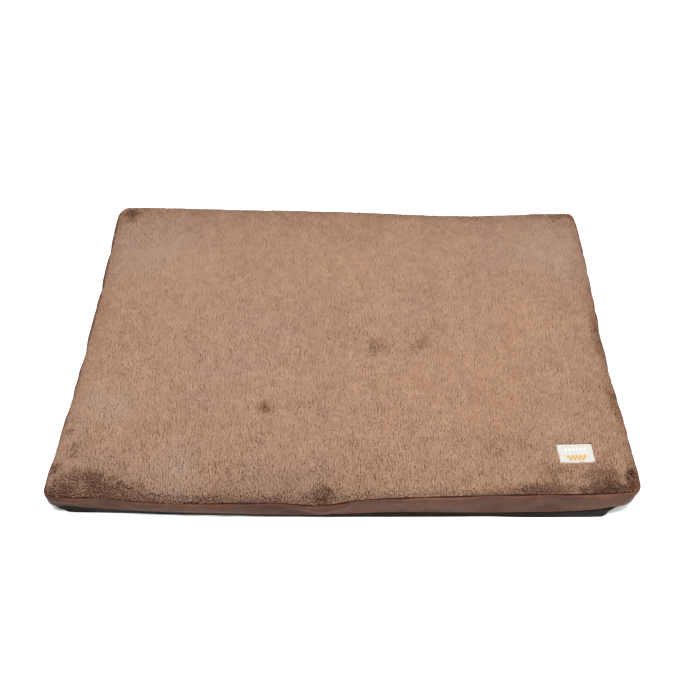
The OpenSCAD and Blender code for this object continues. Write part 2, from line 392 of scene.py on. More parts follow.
def new_material(name):
    material = bpy.data.materials.new(name)
    material.use_nodes = True
    tree = material.node_tree
    place = node(tree, "ShaderNodeTexCoord").outputs["Object"]
    return material, tree, tree.nodes["Principled BSDF"], place


def node(tree, kind, inputs=None, **settings):
    made = tree.nodes.new(kind)
    for name, value in settings.items():
        setattr(made, name, value)
    for name, value in (inputs or {}).items():
        if isinstance(value, bpy.types.NodeSocket):
            tree.links.new(value, made.inputs[name])
        else:
            made.inputs[name].default_value = value
    return made


def noise_node(tree, place, scale, detail=3.0, stretch=(1, 1, 1)):
    scaled = node(tree, "ShaderNodeMapping", {"Vector": place, "Scale": stretch})
    return node(tree, "ShaderNodeTexNoise",
                {"Vector": scaled.outputs[0], "Scale": scale, "Detail": detail}).outputs["Fac"]


def ramp_node(tree, value, stops):
    made = node(tree, "ShaderNodeValToRGB", {"Fac": value})
    ramp = made.color_ramp
    while len(ramp.elements) < len(stops):
        ramp.elements.new(0.5)
    for element, (place, colour) in zip(ramp.elements, stops):
        element.position = place
        element.color = (*colour, 1)
    return made.outputs["Color"]


def maths(tree, operation, a, b):
    return node(tree, "ShaderNodeMath", {0: a, 1: b}, operation=operation).outputs[0]


def mix_colour(tree, share, a, b, blend="MIX"):
    made = node(tree, "ShaderNodeMix", data_type="RGBA", blend_type=blend)
    for socket, value in ((made.inputs[0], share), (made.inputs[6], a), (made.inputs[7], b)):
        if isinstance(value, bpy.types.NodeSocket):
            tree.links.new(value, socket)
        else:
            socket.default_value = value if socket.type == "VALUE" else (*value, 1)
    return made.outputs[2]


def finish_shader(shader, roughness, sheen=0.0, sheen_roughness=0.5, sheen_tint=(1, 1, 1), metallic=0.0,
                  specular=0.5):
    values = {
        "Roughness": roughness, "Metallic": metallic, "Specular IOR Level": specular,
        "Sheen Weight": sheen, "Sheen Roughness": sheen_roughness, "Sheen Tint": (*sheen_tint, 1),
    }
    for name, value in values.items():
        shader.inputs[name].default_value = value


def wire(tree, shader, colour, height, strength, distance, roughness=None, low=0.0, high=1.0):
    """Links a colour, a bump height and, if given, a roughness between low and high to the shader."""
    tree.links.new(colour, shader.inputs["Base Color"])
    bump = node(tree, "ShaderNodeBump", {"Height": height, "Strength": strength, "Distance": distance})
    tree.links.new(bump.outputs[0], shader.inputs["Normal"])
    if roughness is not None:
        spread = node(tree, "ShaderNodeMapRange", {"Value": roughness, "To Min": low, "To Max": high})
        tree.links.new(spread.outputs[0], shader.inputs["Roughness"])


PLUSH_DARK = (0.084, 0.031, 0.014)
PLUSH_MID = (0.226, 0.132, 0.086)
PLUSH_BLEACHED = (0.262, 0.18, 0.136)
PLUSH_PALE = (0.318, 0.206, 0.144)


def plush_material():
    """Brushed pile: each tuft's shade, its own tone together with painted shade and light, warmed and cooled
    in broad soft patches.
    """
    material, tree, shader, place = new_material("plush_pile")
    shade = node(tree, "ShaderNodeAttribute", attribute_name="shade").outputs["Fac"]
    colour = ramp_node(tree, shade, [(0.0, PLUSH_DARK), (0.5, PLUSH_MID), (1.0, PLUSH_PALE)])
    bleach = node(tree, "ShaderNodeAttribute", attribute_name="bleach").outputs["Fac"]
    colour = mix_colour(tree, maths(tree, "MULTIPLY", bleach, 0.75), colour, PLUSH_BLEACHED)
    patch = noise_node(tree, place, 5.0, 2.0)
    tint = ramp_node(tree, patch, [(0.35, (0.95, 0.96, 1.0)), (0.65, (1.0, 0.99, 0.96))])
    tree.links.new(mix_colour(tree, 1.0, colour, tint, "MULTIPLY"), shader.inputs["Base Color"])
    finish_shader(shader, 0.8, 0.03, 0.45, (1.0, 0.78, 0.62), specular=0.12)
    return material


def backing_material():
    """The pile's backing, seen in the gaps between tufts, coloured far darker than the pile: painted shade
    for those gaps.
    """
    material, tree, shader, place = new_material("plush_backing")
    fine = noise_node(tree, place, 420.0, 2.0)
    colour = ramp_node(tree, fine, [(0.3, (0.04, 0.016, 0.008)), (0.75, (0.1, 0.048, 0.027))])
    wire(tree, shader, colour, fine, 0.6, 0.001)
    finish_shader(shader, 0.92, 0.15)
    return material


def suede_material(name, deep, pale, weft=(1, 1, 1)):
    """Smooth suede cloth: brushed, mottled along its length, with a fine nap."""
    material, tree, shader, place = new_material(name)
    broad = noise_node(tree, place, 9.0, 3.0, (0.6, 0.6, 1.6))
    streak = noise_node(tree, place, 34.0, 3.0, (0.5, 0.5, 2.4))
    nap = noise_node(tree, place, 900.0, 2.0, weft)
    blend = maths(tree, "ADD", maths(tree, "MULTIPLY", broad, 0.62), maths(tree, "MULTIPLY", streak, 0.38))
    colour = ramp_node(tree, blend, [(0.36, deep), (0.64, pale)])
    brush = noise_node(tree, place, 120.0, 3.0, (0.7, 0.7, 1.4))
    stroke = ramp_node(tree, brush, [(0.35, (0.88, 0.87, 0.86)), (0.65, (1.07, 1.06, 1.06))])
    speck = ramp_node(tree, nap, [(0.3, (0.82, 0.82, 0.82)), (0.7, (1.09, 1.09, 1.09))])
    colour = mix_colour(tree, 1.0, colour, stroke, "MULTIPLY")
    colour = mix_colour(tree, 1.0, colour, speck, "MULTIPLY")
    wire(tree, shader, colour, maths(tree, "ADD", nap, brush), 0.45, 0.0005, streak, 0.55, 0.8)
    finish_shader(shader, 0.65, 0.03, 0.35, (1.0, 0.66, 0.52), specular=0.08)
    return material


def weave_material(name, thread, gap_shade_colour, pitch, roughness=0.8, sheen=0.1, specular=0.5):
    """Plain weave: warp and weft ridges at the thread pitch, with uneven threads, coloured darker in the low
    places between threads as painted shade.
    """
    material, tree, shader, place = new_material(name)
    parts = node(tree, "ShaderNodeSeparateXYZ", {0: place})
    turns = TURN / pitch
    across = maths(tree, "ADD", parts.outputs["Y"], parts.outputs["Z"])
    runs = parts.outputs["X"], across
    waves = [maths(tree, "SINE", maths(tree, "MULTIPLY", run, turns), 0.0) for run in runs]
    checks = maths(tree, "MULTIPLY", waves[0], waves[1])
    uneven = noise_node(tree, place, 160.0, 2.0)
    height = maths(tree, "ADD", maths(tree, "MULTIPLY", checks, 0.5), uneven)
    wire(tree, shader, ramp_node(tree, height, [(0.1, gap_shade_colour), (0.75, thread)]), height, 0.5, pitch * 0.3)
    finish_shader(shader, roughness, sheen, specular=specular)
    return material


def speckle_material(name, dark, pale, scale, roughness, metallic=0.0, bump=0.2, sheen=0.0, specular=0.5):
    """Foam cells, fibre, plastic and metal: a two-tone speckle with matching bump and roughness."""
    material, tree, shader, place = new_material(name)
    grain = noise_node(tree, place, scale, 4.0)
    colour = ramp_node(tree, grain, [(0.35, dark), (0.65, pale)])
    wire(tree, shader, colour, grain, bump, 0.4 / scale, grain, roughness - 0.1, roughness + 0.1)
    finish_shader(shader, roughness, sheen, metallic=metallic, specular=specular)
    return material


# ---- camera, lights and floor ----

CAMERA_PLACE = Vector((0.016, -1.025, 1.314))
CAMERA_PITCH = math.radians(51.65)      # below the horizon
CAMERA_YAW = math.radians(0.36)
CAMERA_ROLL = math.radians(0.14)
CAMERA_LENS = 42.2                      # mm, on a 36 mm square frame
FLOOR_RADIUS = 40.0


def make_camera():
    data = bpy.data.cameras.new("camera")
    data.lens = CAMERA_LENS
    data.sensor_width = 36
    camera = add_object("camera", data)
    camera.location = CAMERA_PLACE
    camera.rotation_euler = (math.pi / 2 - CAMERA_PITCH, CAMERA_ROLL, CAMERA_YAW)
    bpy.context.scene.camera = camera


def area_light(name, place, aim, size, power):
    data = bpy.data.lights.new(name, "AREA")
    data.shape = "RECTANGLE"
    data.size, data.size_y = size
    data.energy = power
    light = add_object(name, data)
    light.location = place
    light.rotation_euler = (Vector(aim) - Vector(place)).to_track_quat("-Z", "Y").to_euler()


def make_stage():
    scene = bpy.context.scene
    world = bpy.data.worlds.new("studio")
    world.use_nodes = True
    background = world.node_tree.nodes["Background"]
    background.inputs["Color"].default_value = (1, 1, 1, 1)
    background.inputs["Strength"].default_value = 0.6
    scene.world = world
    scene.view_settings.view_transform = "Standard"
    area_light("overhead", (0.0, -0.4, 2.2), (0, -0.1, 0), (1.8, 1.0), 118)
    area_light("right_fill", (2.4, -0.7, 1.1), (0.3, -0.1, 0), (1.2, 1.2), 26)
    turns = np.arange(48) * TURN / 48
    corners = points_at(FLOOR_RADIUS * np.cos(turns), FLOOR_RADIUS * np.sin(turns), 0 * turns)
    floor = make_object("floor", corners, [tuple(range(48))])
    material, _, shader, _ = new_material("floor")
    shader.inputs["Base Color"].default_value = (0.93, 0.93, 0.93, 1)
    finish_shader(shader, 0.9)
    floor.data.materials.append(material)


# ---- dressing ----

def dress(obj, material, body="mattress", replaces=()):
    """Gives a piece its material and its body, and hides the CAD nodes that it stands for."""
    obj.data.materials.clear()
    obj.data.materials.append(material)
    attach(obj, body)
    if replaces:
        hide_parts(*replaces)
    return obj


def thicken(obj, thickness, levels=0):
    """Gives a sheet its thickness, behind the side that it faces, and smooths it by levels."""
    add_modifier(obj, "SOLIDIFY", thickness=thickness, offset=-1.0, use_even_offset=False)
    if levels:
        add_modifier(obj, "SUBSURF", levels=levels, render_levels=levels)
    apply_modifiers(obj)
    obj.data.polygons.foreach_set("use_smooth", [True] * len(obj.data.polygons))


# ---- plush top ----

def panel_axes():
    columns = 2 * int(round(WALL_X / SHEET_PITCH)) + 1
    rows = 2 * int(round(WALL_Y / SHEET_PITCH)) + 1
    return np.linspace(-WALL_X, WALL_X, columns), np.linspace(-WALL_Y, WALL_Y, rows)


def panel_grid():
    return np.meshgrid(*panel_axes())


def perimeter():
    """Points of the wall's rectangle in order round it, anticlockwise from the front left corner."""
    xs, ys = panel_axes()
    front = [(x, ys[0]) for x in xs[:-1]]
    right = [(xs[-1], y) for y in ys[:-1]]
    back = [(x, ys[-1]) for x in xs[:0:-1]]
    left = [(xs[0], y) for y in ys[:0:-1]]
    return np.array(front + right + back + left)


def make_skin():
    """The plush panel's backing as an open sheet, a grid that the pile is rooted in."""
    x, y = panel_grid()
    px, py = round_corners(x, y, top_radius(x, y))
    sx, sy = seam_shift(x, y)
    points = points_at(px + sx, py + sy, skin_height(x, y))
    skin = make_object("plush_top_panel_backing", points, grid_faces(*x.shape))
    rim = edge_distance(x, y) < 1e-6
    add_cloth(skin, rim.ravel(), 1.0, 0.006, 12)
    return skin


def skin_grid(skin):
    return vertex_array(skin).reshape(*panel_grid()[0].shape, 3)


def brushed(x, y):
    """How far the pile is brushed over, from 0 to 1: hand marks, the corners and the rim."""
    marks = [
        # middle x and y, half-widths, strength: round the front left corner and along the front
        (-0.44, -0.32, 0.04, 0.015, 0.6), (-0.47, -0.34, 0.04, 0.02, 0.65), (-0.4, -0.34, 0.05, 0.015, 0.65),
        (-0.49, -0.3, 0.02, 0.015, 0.8), (-0.46, -0.27, 0.01, 0.02, 0.45), (-0.48, -0.23, 0.01, 0.01, 0.5),
        (-0.33, -0.35, 0.05, 0.012, 0.75), (-0.24, -0.35, 0.04, 0.01, 0.55), (-0.13, -0.35, 0.05, 0.008, 0.5),
        (-0.04, -0.34, 0.02, 0.015, 0.9), (0.26, -0.35, 0.06, 0.008, 0.5),
        # the front right corner and the right side
        (0.35, -0.34, 0.06, 0.012, 0.5), (0.44, -0.34, 0.05, 0.012, 0.75), (0.49, -0.32, 0.015, 0.03, 0.75),
        (0.36, -0.31, 0.04, 0.025, 0.32), (0.29, -0.25, 0.09, 0.04, 0.1), (0.43, -0.32, 0.04, 0.02, 0.45),
        (0.49, -0.16, 0.012, 0.06, 0.35), (0.49, 0.01, 0.015, 0.09, 0.35),
        # a few out on the panel, and along the back
        (0.06, -0.04, 0.03, 0.025, 0.3), (0.14, -0.03, 0.025, 0.025, 0.24), (0.18, 0.01, 0.025, 0.02, 0.16),
        (-0.15, -0.18, 0.015, 0.012, 0.34), (0.45, 0.33, 0.05, 0.012, 0.35), (-0.08, 0.34, 0.02, 0.008, 0.55),
        (-0.47, 0.32, 0.02, 0.02, 0.5),
    ]
    total = np.zeros_like(x)
    ragged = 0.3 * noise(x, y, 0.014, 11) + 0.22 * noise(x, y, 0.006, 17)
    for mx, my, rx, ry, strength in marks:
        far = np.hypot((x - mx) / rx, (y - my) / ry)
        total = np.maximum(total, strength * smooth((1.35 - far + ragged) / 1.0))
    return total


def painted_border_shade(x, y):
    """Painted shade: how much darker the pile's colour is made where it rolls down towards its seams, for the
    light that falls off there.
    """
    depths = (0.11, 0.055), (0.34, 0.034), (0.14, 0.018), (0.28, 0.03)
    return sum(dark * np.exp(-d / wide) for (dark, wide), d in zip(depths, edge_distances(x, y)))


def paler(x, y):
    """How much the pile is flattened and bleached by wear, from 0 to 1."""
    marks = [(-0.4, 0.22, 0.075), (0.42, 0.22, 0.075), (-0.42, -0.16, 0.05), (-0.29, -0.31, 0.04)]
    return sum(np.exp(-((x - a) ** 2 + (y - b) ** 2) / r**2) for a, b, r in marks)


def tuft_roots(count, rng):
    """Even but irregular root places on the panel's rectangle."""
    pitch = math.sqrt(4 * WALL_X * WALL_Y / count)
    x, y = np.meshgrid(np.arange(-WALL_X + pitch / 2, WALL_X, pitch),
                       np.arange(-WALL_Y + pitch / 2, WALL_Y, pitch))
    x = x.ravel() + rng.uniform(-0.6, 0.6, x.size) * pitch
    y = y.ravel() + rng.uniform(-0.6, 0.6, y.size) * pitch
    return np.clip(x, -WALL_X, WALL_X), np.clip(y, -WALL_Y, WALL_Y)


def read_grid(values, x, y):
    """Values on the panel's grid, read between its points."""
    rows, columns = values.shape[:2]
    u = (x + WALL_X) / (2 * WALL_X) * (columns - 1)
    v = (y + WALL_Y) / (2 * WALL_Y) * (rows - 1)
    i = np.clip(u.astype(int), 0, columns - 2)
    j = np.clip(v.astype(int), 0, rows - 2)
    a, b = (u - i)[:, None], (v - j)[:, None]
    return (
        (values[j, i] * (1 - a) + values[j, i + 1] * a) * (1 - b)
        + (values[j + 1, i] * (1 - a) + values[j + 1, i + 1] * a) * b
    )


def clump_pull(x, y, cell, seed):
    """Vectors to the middle of the clump that each place belongs to, on a warped jittered grid."""
    wx = x + 0.9 * cell * noise(x, y, 2.7 * cell, seed)
    wy = y + 0.9 * cell * noise(x, y, 2.7 * cell, seed + 1)
    i, j = np.floor(wx / cell), np.floor(wy / cell)
    jitter = [0.35 * noise(i * 7.31, j * 5.17, 1.0, seed + k) for k in (2, 3)]
    return points_at((i + 0.5 + jitter[0]) * cell - wx, (j + 0.5 + jitter[1]) * cell - wy)


def make_pile(skin, material):
    """Tapered, bent tufts rooted in the skin, clumped, leaning back, and brushed over in places."""
    rng = np.random.default_rng(20)
    grid = skin_grid(skin)
    normals = unit(np.cross(np.gradient(grid, axis=1), np.gradient(grid, axis=0)))
    x, y = tuft_roots(TUFTS, rng)
    count = x.size
    root, normal = read_grid(grid, x, y), unit(read_grid(normals, x, y))
    near = edge_distance(x, y)
    rim = smooth(1 - near / 0.014)
    mark = brushed(x, y)

    # which way the pile lies: back across the panel, another way where brushed, out over the rim
    lean = np.zeros((count, 3))
    lean[:, 0] = 0.04 + 0.14 * noise(x, y, 0.034, 5) + 0.32 * noise(x, y, 0.01, 6)
    lean[:, 1] = 0.36 + 0.09 * noise(x, y, 0.04, 7) + 0.15 * noise(x, y, 0.011, 8)
    front = 0.34 * smooth(1 - (y + WALL_Y) / 0.075) * (1 - 0.4 * rim)
    lean[:, 1] += front + 0.7 * np.maximum(-normal[:, 1], 0)
    half_turns = -0.5 - 0.28 * np.clip(x / 0.3, -1, 1)
    swirl = math.pi * (half_turns + 0.2 * noise(x, y, 0.05, 9) + 0.1 * noise(x, y, 0.013, 10))
    turned = 1.25 * points_at(np.cos(swirl), np.sin(swirl))
    lean[:, :2] += (turned - lean[:, :2]) * mark[:, None]
    ox, oy = outward(x, y, 0.03)
    tidy = (1 - 0.7 * np.exp(-((x + 0.31) / 0.07) ** 2)) * smooth(1 - (y + WALL_Y) / 0.03)
    over = 0.35 * np.maximum(oy, 0) + 0.9 * np.abs(ox) * smooth(-y / 0.1)
    over = rim * (over + np.maximum(noise(x, y, 0.022, 19), 0) * (0.2 + 0.8 * mark) * (1 - tidy))
    lean[:, :2] += over[:, None] * points_at(ox, oy)
    lean[:, :2] += rng.normal(0, 0.15, (count, 2))

    # tips draw together into small clumps, and part over a few bare spots
    pull = 0.38 * clump_pull(x, y, 0.0052, 30) + 0.24 * clump_pull(x, y, 0.003, 40)
    spot = clump_pull(x, y, BARE_CELL, 50)
    far = np.linalg.norm(spot, axis=1)
    chosen = noise(np.floor(x / BARE_CELL) * 3.7, np.floor(y / BARE_CELL) * 2.9, 1.0, 54) > 0
    parted = smooth(1 - far / 0.0028) * chosen
    pull -= 0.9 * parted[:, None] * spot * (0.0016 / np.maximum(far, 0.0008))[:, None]
    toward = np.zeros((count, 3))
    toward[:, :2] = pull * (1 - 0.8 * rim[:, None]) * (1 - 0.5 * mark[:, None])

    length = PILE_LENGTH * (1 + 0.1 * noise(x, y, 0.02, 14) + rng.normal(0, 0.09, count))
    pressed = label_press(root[:, 0], root[:, 1])
    length *= (1 + 0.1 * mark) * (1 - (0.2 + 0.3 * tidy) * rim) * (1 - 0.5 * pressed)
    reach = length[:, None]
    bent = root + reach * 0.5 * unit(normal + 0.5 * lean) + 0.35 * toward
    tip = bent + reach * 0.54 * unit(0.6 * normal + lean) + toward
    under = pressed > 0.3
    tip[under, 2] = np.minimum(tip[under, 2], LABEL["z"] - 0.0014)
    bent[under, 2] = np.minimum(bent[under, 2], LABEL["z"] - 0.0018)
    root = root - 0.0008 * normal

    streak = noise(0.35 * (0.77 * x - 0.64 * y), 0.64 * x + 0.77 * y, 0.0045, 18)
    shade = 0.57 + 0.04 * noise(x, y, 0.045, 15) + 0.09 * noise(x, y, 0.011, 16) + rng.normal(0, 0.095, count)
    bleach = np.clip(paler(x, y) * (0.8 + 0.4 * noise(x, y, 0.03, 20)), 0, 1)
    # painted shade: brushed patches are darkened in colour, with streaks, for the darker look of pile brushed
    # another way; tufts over parted bare spots are darkened for the shade in the gap; the border darkening is
    # painted shade too
    shade -= (0.38 + 0.18 * streak) * mark + 0.1 * parted + painted_border_shade(x, y)
    columns, rows = TUFT_TILES
    across = np.clip(np.floor((x + WALL_X) / (2 * WALL_X) * columns), 0, columns - 1)
    deep = np.clip(np.floor((y + WALL_Y) / (2 * WALL_Y) * rows), 0, rows - 1)
    tile = (across * rows + deep).astype(int)
    spin = rng.uniform(0, TURN, count)
    width = TUFT_RADIUS * 1 * (1 + rng.normal(0, 0.12, count))
    for i in range(columns * rows):
        mine = tile == i
        tuft_object(f"plush_pile_{i + 1:02d}", material, root[mine], bent[mine], tip[mine],
                    width[mine], spin[mine], shade[mine], bleach[mine])


def tuft_object(name, material, root, bent, tip, width, spin, shade, bleach):
    """Three-sided spikes with one bend each, as one mesh with its own bake map and shades."""
    count = len(root)
    way = unit(tip - root)
    side = unit(np.cross(way, np.array([0.3, 0.2, 1.0])))
    other = np.cross(way, side)
    rings = []
    for centre, thick in ((root, 1.0), (bent, 0.92)):
        for corner in range(3):
            turn = spin + corner * TURN / 3
            offset = side * np.cos(turn)[:, None] + other * np.sin(turn)[:, None]
            rings.append(centre + offset * (width * thick)[:, None])
    points = np.stack([*rings, tip], 1).reshape(-1, 3)
    sides = [(c, (c + 1) % 3, 3 + (c + 1) % 3, 3 + c) for c in range(3)]
    ends = [(3 + c, 3 + (c + 1) % 3, 6) for c in range(3)]
    corners = np.array([i for face in sides + ends for i in face])
    loops = (corners[None, :] + 7 * np.arange(count)[:, None]).ravel()
    sizes = np.tile([4, 4, 4, 3, 3, 3], count)
    starts = np.concatenate([[0], np.cumsum(sizes)[:-1]])

    mesh = bpy.data.meshes.new(name)
    mesh.vertices.add(len(points))
    mesh.vertices.foreach_set("co", points.astype(np.float32).ravel())
    mesh.loops.add(len(loops))
    mesh.loops.foreach_set("vertex_index", loops.astype(np.int32))
    mesh.polygons.add(len(sizes))
    mesh.polygons.foreach_set("loop_start", starts.astype(np.int32))
    mesh.polygons.foreach_set("use_smooth", np.ones(len(sizes), bool))
    mesh.update(calc_edges=True)
    # painted shade and light: each tuft's colour is darker at its root, down in the pile, and lighter at its
    # tip
    root_shade_tip_light = np.array([-0.24, -0.24, -0.24, 0.02, 0.02, 0.02, 0.15])
    shades = np.clip(shade[:, None] + root_shade_tip_light[None, :], 0, 1)
    for label, values in (("shade", shades), ("bleach", np.repeat(bleach[:, None], 7, 1))):
        attribute = mesh.attributes.new(label, "FLOAT", "POINT")
        attribute.data.foreach_set("value", values.ravel().astype(np.float32))
    low, high = points[:, :2].min(0), points[:, :2].max(0)
    mesh.uv_layers.new(name="OFBake").data.foreach_set(
        "uv", ((points[loops, :2] - low) / (high - low)).astype(np.float32).ravel())
    dress(add_object(name, mesh), material)


# ---- boxing ----

# Heights of the strip's rows as shares of its drop, closer together near the two seams
BOXING_ROWS = np.array(
    [0.0, 0.02, 0.05, 0.09, 0.15, 0.23, 0.33, 0.44, 0.55, 0.66, 0.76, 0.85, 0.91, 0.96, 1.0])


def lip_place(x, y):
    """The bottom seam's height, and how far it stands out past the wall."""
    lift = smooth((-y - 0.24) / 0.1) * smooth((np.abs(x) - 0.4) / 0.09)
    sides = LIP_SIDES + lift * np.maximum(along(LIP_FRONT, x) - LIP_SIDES, 0)
    radius = lip_radius(x, y)
    height = by_side(x, y, radius, along(LIP_FRONT, x), LIP_SIDES, sides, sides)
    out = by_side(x, y, radius, along(LIP_OUT_FRONT, x), LIP_OUT_BACK, along(LIP_OUT_LEFT, y), LIP_OUT_RIGHT)
    return height, out


def boxing_points(x, y, t):
    """The boxing's surface: t runs from 0 at the top seam to 1 at the bottom seam."""
    radius = top_radius(x, y) + (lip_radius(x, y) - top_radius(x, y)) * smooth(t * 1.4)
    px, py = round_corners(x, y, radius)
    ox, oy = outward(x, y, radius)
    sx, sy = seam_shift(x, y)
    lip_height, lip_out = lip_place(x, y)
    bulge = by_side(x, y, radius, BULGE_FRONT, 0.0, along(BULGE_LEFT, y), along(BULGE_RIGHT, y))
    roll = by_side(x, y, radius, GROOVE_ROLL, 0.0005, 0.5 * GROOVE_ROLL, 0.5 * GROOVE_ROLL)
    out = lip_out * t + bulge * np.sin(math.pi * np.clip(t, 0, 1)) ** 0.7
    out = out + roll * smooth(t / 0.09) * (1 - 0.8 * smooth((t - 0.09) / 0.5))
    out = out - 0.0012 * np.exp(-((t - 0.92) / 0.025) ** 2)
    fade = np.where(y > 0, np.clip(1 - t / 0.45, 0, 1), 1 - t)
    high = seam_height(x, y)
    z = high + (lip_height - high) * (t - 0.09 * np.sin(TURN * t))
    z = z - GROOVE_DEPTH * np.clip(1 - t / 0.06, 0, 1) ** 2
    return points_at(px + sx * (1 - t) + ox * out, py + sy * fade + oy * out, z)


def make_boxing_sheet():
    """The strip round the front, both sides and the back corners, as an open sheet."""
    ring = perimeter()
    open_back = (ring[:, 1] > WALL_Y - 1e-6) & (np.abs(ring[:, 0]) < ZIP_END_X)
    first = int(np.flatnonzero(open_back)[-1]) + 1
    ring = np.roll(ring, -first, axis=0)[~np.roll(open_back, -first)]
    ends = [(-ZIP_END_X, WALL_Y), (ZIP_END_X, WALL_Y)]
    ring = np.concatenate([ends[:1], ring, ends[1:]])
    fine = np.linspace(0, len(ring) - 1, 2 * len(ring) - 1)
    x, y = (np.interp(fine, np.arange(len(ring)), ring[:, k]) for k in (0, 1))
    points = np.stack([boxing_points(x, y, np.full_like(x, t)) for t in BOXING_ROWS])
    run = np.concatenate([[0], np.cumsum(np.hypot(np.diff(x), np.diff(y)))])
    depth = np.sin(math.pi * BOXING_ROWS)[:, None]
    rough = noise(run[None, :] + 0 * depth, 0.25 * BOXING_ROWS[:, None] + 0 * run, 0.055, 21)
    ox, oy = outward(x, y, 0.03)
    by_zip = y > WALL_Y - 1e-6      # flat here, so that the slider can pass
    points[..., :2] += (0.0016 * depth * rough * ~by_zip)[..., None] * points_at(ox, oy)
    faces = flipped(grid_faces(len(BOXING_ROWS), len(x)))
    sheet = make_object("boxing_strip_cloth", points, faces)
    pinned = np.zeros(points.shape[:2], bool)
    pinned[:2], pinned[-3:] = True, True
    pinned[:, by_zip] = True
    add_cloth(sheet, pinned.ravel(), 0.6, 0.012, 10)
    return sheet


def make_seam_shade_line(material):
    """A near-black tube along the bottom of the top seam's groove: painted shade for the shadow that the
    overhanging pile casts there.
    """
    x, y = perimeter().T
    line = boxing_points(x, y, np.full_like(x, 0.01))
    side = np.abs(outward(x, y, 0.03)[0])
    line[:, 0] -= 0.0022 * side * np.sign(x)
    line[:, 2] -= 0.0012 * side
    line = np.concatenate([line, line[:2]])
    dress(tubes("top_seam_shade_line", [line + (0, 0, 0.001)], 0.0017, 6), material)


def finish_boxing(sheet, material):
    thicken(sheet, BOXING_THICK, levels=1)
    dress(sheet, material, replaces=["boxing_strip"])


def make_back_strips(material, thread):
    """The two strips above and below the zip, from their seams to their edges along the zip."""
    x = np.linspace(-ZIP_END_X, ZIP_END_X, 231)
    y = np.full_like(x, WALL_Y)
    seam, lip = boxing_points(x, y, np.zeros_like(x)), boxing_points(x, y, np.ones_like(x))
    for name, edge_z, far, side in (
        ("boxing_back_upper", ZIP_UPPER_Z, seam, 1), ("boxing_back_lower", ZIP_LOWER_Z, lip, -1),
    ):
        edge = points_at(x, y, np.full_like(x, edge_z))
        rows = []
        for t in (0.0, 0.05, 0.14, 0.26, 0.4, 0.55, 0.7, 0.85, 1.0):
            row = edge + (far - edge) * t
            row[:, 1] = WALL_Y + (far[:, 1] - WALL_Y) * t**3
            ripple = 0.5 + 0.5 * noise(x, 0.06 * t + 0 * x, 0.024, 31 + side)
            row[:, 1] += 0.0016 * math.sin(math.pi * t) * ripple
            row[:, 1] -= 0.0004 * math.exp(-((t - 0.12) / 0.05) ** 2)
            rows.append(row)
        faces = grid_faces(len(rows), len(x))
        strip = make_object(name + "_cloth", np.concatenate(rows), flipped(faces) if side > 0 else faces)
        thicken(strip, BOXING_THICK, levels=1)
        dress(strip, material, replaces=[name])
        stitch_z = edge_z + side * 0.0022
        stitches = [[(k + s * 0.0029, WALL_Y + 0.0001 + 0.0003 * math.sin(math.pi * s), stitch_z)
                     for s in (0, 0.25, 0.5, 0.75, 1)]
                    for k in np.arange(-ZIP_END_X + 0.004, ZIP_END_X - 0.006, 0.0038)]
        dress(tubes(name + "_topstitch", stitches, 0.00035, 5), thread)


# ---- base ----

def foot_point(x, y):
    """Points of the patch that rests on the floor, from points of the wall's rectangle."""
    px, py = round_corners(x, y, FOOT_RADIUS)
    front, back, left, right = side_shares(x, y)
    wavy = along(FOOT_FRONT, x) + 0.0012 * noise(x, 0 * x, 0.09, 42)
    return px + right * along(FOOT_RIGHT, y) - left * FOOT_LEFT, py + back * FOOT_BACK - front * wavy


def make_base(material, dot_material):
    """The base hangs from the bottom seam, then rolls under onto the floor; its dark cloth showing under the
    front lip also stands in for the shadow there, as painted shade.

    At the front right corner it runs in under the boxing first, and drops to the floor further in.
    """
    x, y = perimeter().T
    lip = boxing_points(x, y, np.ones_like(x))
    fx, fy = foot_point(x, y)
    rings = []
    under = smooth((x - 0.33) / 0.09) * smooth(-y / 0.15)
    for t in (0.0, 0.15, 0.3, 0.45, 0.6, 0.75, 0.88, 1.0):
        turn = math.pi / 2 * t
        share = (1 - math.cos(turn)) * (1 - under) + math.sin(turn) * under
        drop = math.sin(turn) * (1 - under) + (1 - math.cos(turn)) * under
        z = BASE_REST_Z + (lip[:, 2] - BASE_REST_Z) * (1 - drop)
        rings.append(points_at(lip[:, 0] + (fx - lip[:, 0]) * share, lip[:, 1] + (fy - lip[:, 1]) * share, z))
    gx, gy = panel_grid()
    fx, fy = foot_point(gx, gy)
    near = edge_distance(gx, gy)
    height = BASE_REST_Z + 0.0003 * (noise(gx, gy, 0.05, 41) + 1) * smooth(near / 0.04)
    base = shell("grip_base_cloth", rings, None, points_at(fx, fy, height))
    thicken(base, BASE_THICK)
    points = vertex_array(base)
    points[:, 2] = np.maximum(points[:, 2], 0.0002)
    set_vertices(base, points)
    dress(base, material, replaces=["grip_base_panel"])
    make_dots(dot_material)


def make_dots(material):
    """Rows of low domed grip dots that the base stands on."""
    pitch, radius, height, margin, sides = 0.018, 0.0022, 0.001, 0.045, 10
    turns = np.arange(sides) * TURN / sides
    rings = [(radius, height), (radius * 0.9, height * 0.4), (radius * 0.5, height * 0.07)]
    dome = [(r * math.cos(a), r * math.sin(a), h) for r, h in rings for a in turns] + [(0, 0, 0)]
    faces = grid_faces(len(rings), sides, closed=True)
    last = (len(rings) - 1) * sides
    faces += [(last + i, last + (i + 1) % sides, len(dome) - 1) for i in range(sides)]
    faces = flipped(faces) + [tuple(range(sides))]
    across = np.arange(margin - WALL_X, WALL_X - margin, pitch)
    points, all_faces = [], []
    for r, y in enumerate(np.arange(margin - WALL_Y, WALL_Y - margin, pitch * 0.87)):
        for x in across + (pitch / 2 if r % 2 else 0):
            start = len(points)
            points += [(x + a, y + b, c) for a, b, c in dome]
            all_faces += [tuple(start + i for i in face) for face in faces]
    dress(make_object("grip_dots", points, all_faces), material)


# ---- filling ----

